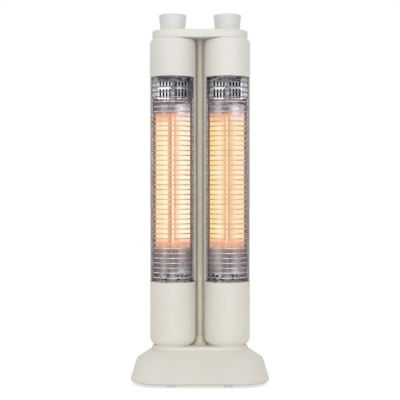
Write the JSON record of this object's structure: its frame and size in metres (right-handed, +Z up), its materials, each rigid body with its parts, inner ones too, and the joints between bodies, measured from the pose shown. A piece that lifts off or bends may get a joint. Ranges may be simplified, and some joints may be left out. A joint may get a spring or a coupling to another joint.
{
  "type": "electric tube heater",
  "caption": "Free-standing electric tube heater with upright swivelling columns, quartz tubes before lobed reflectors behind wire guards, a wide base and a top bridge with rotary knobs",
  "frame": {"origin": "on the floor plane, below the middle of the base", "axes": "+Z up; the windows and wire guards face -Y; the columns stand side by side along X"},
  "size_m": [0.244, 0.188, 0.6531],
  "materials": {
    "cream_shell": "cream moulded plastic, satin",
    "cream_knob": "cream moulded plastic, satin",
    "housing_paint": "cream enamel on sheet steel, satin",
    "post_paint": "cream enamel on steel tube, satin",
    "black_plastic": "black moulded plastic, matt",
    "rubber": "dark grey rubber, matt",
    "steel": "zinc-plated steel",
    "chrome_wire": "chromed steel wire",
    "chrome_sheet": "polished reflector sheet",
    "brass": "plain brass",
    "quartz": "clear quartz, lit from inside",
    "carbon": "glowing carbon strip",
    "lead_sleeve": "woven glass-fibre sleeve"
  },
  "bodies": {
    "stand": {"base_shell": "cream_shell", "base_plate": "black_plastic", "ballast_weight": "steel", "foot_front_left": "rubber", "foot_front_right": "rubber", "foot_rear_left": "rubber", "foot_rear_right": "rubber", "plate_screw_front_left": "steel", "plate_screw_front_right": "steel", "plate_screw_rear_left": "steel", "plate_screw_rear_right": "steel", "cord_gland": "rubber", "terminal_block": "black_plastic", "tip_switch": "black_plastic", "centre_post": "post_paint", "post_collar": "cream_shell", "post_nut": "steel", "bridge_base": "cream_shell", "bridge_cover": "cream_shell", "left_lower_bush": "black_plastic", "left_rotary_switch": "black_plastic", "left_switch_nut": "brass", "right_lower_bush": "black_plastic", "right_rotary_switch": "black_plastic", "right_switch_nut": "brass"},
    "tip_plunger": {"tip_plunger": "black_plastic"},
    "left_column": {"left_upper_sleeve": "cream_shell", "left_lower_sleeve": "cream_shell", "left_rear_housing": "housing_paint", "left_guard": "chrome_wire", "left_vent_plate": "chrome_sheet", "left_reflector": "chrome_sheet", "left_reflector_floor": "chrome_sheet", "left_lamp_tube": "quartz", "left_filament": "carbon", "left_upper_lamp_cap": "steel", "left_lower_lamp_cap": "steel", "left_lamp_clip": "steel", "left_pivot_clip": "steel", "left_thermostat": "brass", "left_lamp_lead": "lead_sleeve"},
    "right_column": {"right_upper_sleeve": "cream_shell", "right_lower_sleeve": "cream_shell", "right_rear_housing": "housing_paint", "right_guard": "chrome_wire", "right_vent_plate": "chrome_sheet", "right_reflector": "chrome_sheet", "right_reflector_floor": "chrome_sheet", "right_lamp_tube": "quartz", "right_filament": "carbon", "right_upper_lamp_cap": "steel", "right_lower_lamp_cap": "steel", "right_lamp_clip": "steel", "right_pivot_clip": "steel", "right_thermostat": "brass", "right_lamp_lead": "lead_sleeve"},
    "left_knob": {"left_knob": "cream_knob", "left_knob_shaft": "steel"},
    "right_knob": {"right_knob": "cream_knob", "right_knob_shaft": "steel"}
  },
  "joints": [
    {"name": "left_column_swivel", "type": "hinge", "parent": "stand", "child": "left_column", "pos_m": [-0.049, 0, 0.3], "axis": [0, 0, 1], "range_deg": [-90, 90]},
    {"name": "right_column_swivel", "type": "hinge", "parent": "stand", "child": "right_column", "pos_m": [0.049, 0, 0.3], "axis": [0, 0, 1], "range_deg": [-90, 90]},
    {"name": "left_knob_turn", "type": "hinge", "parent": "stand", "child": "left_knob", "pos_m": [-0.049, 0, 0.638], "axis": [0, 0, 1], "range_deg": [0, 120]},
    {"name": "right_knob_turn", "type": "hinge", "parent": "stand", "child": "right_knob", "pos_m": [0.049, 0, 0.638], "axis": [0, 0, 1], "range_deg": [0, 120]},
    {"name": "tip_plunger_slide", "type": "slide", "parent": "stand", "child": "tip_plunger", "axis": [0, 0, -1], "range_m": [0, 0.006], "stiffness_N_per_m": 60, "springref_m": 0.012}
  ]
}
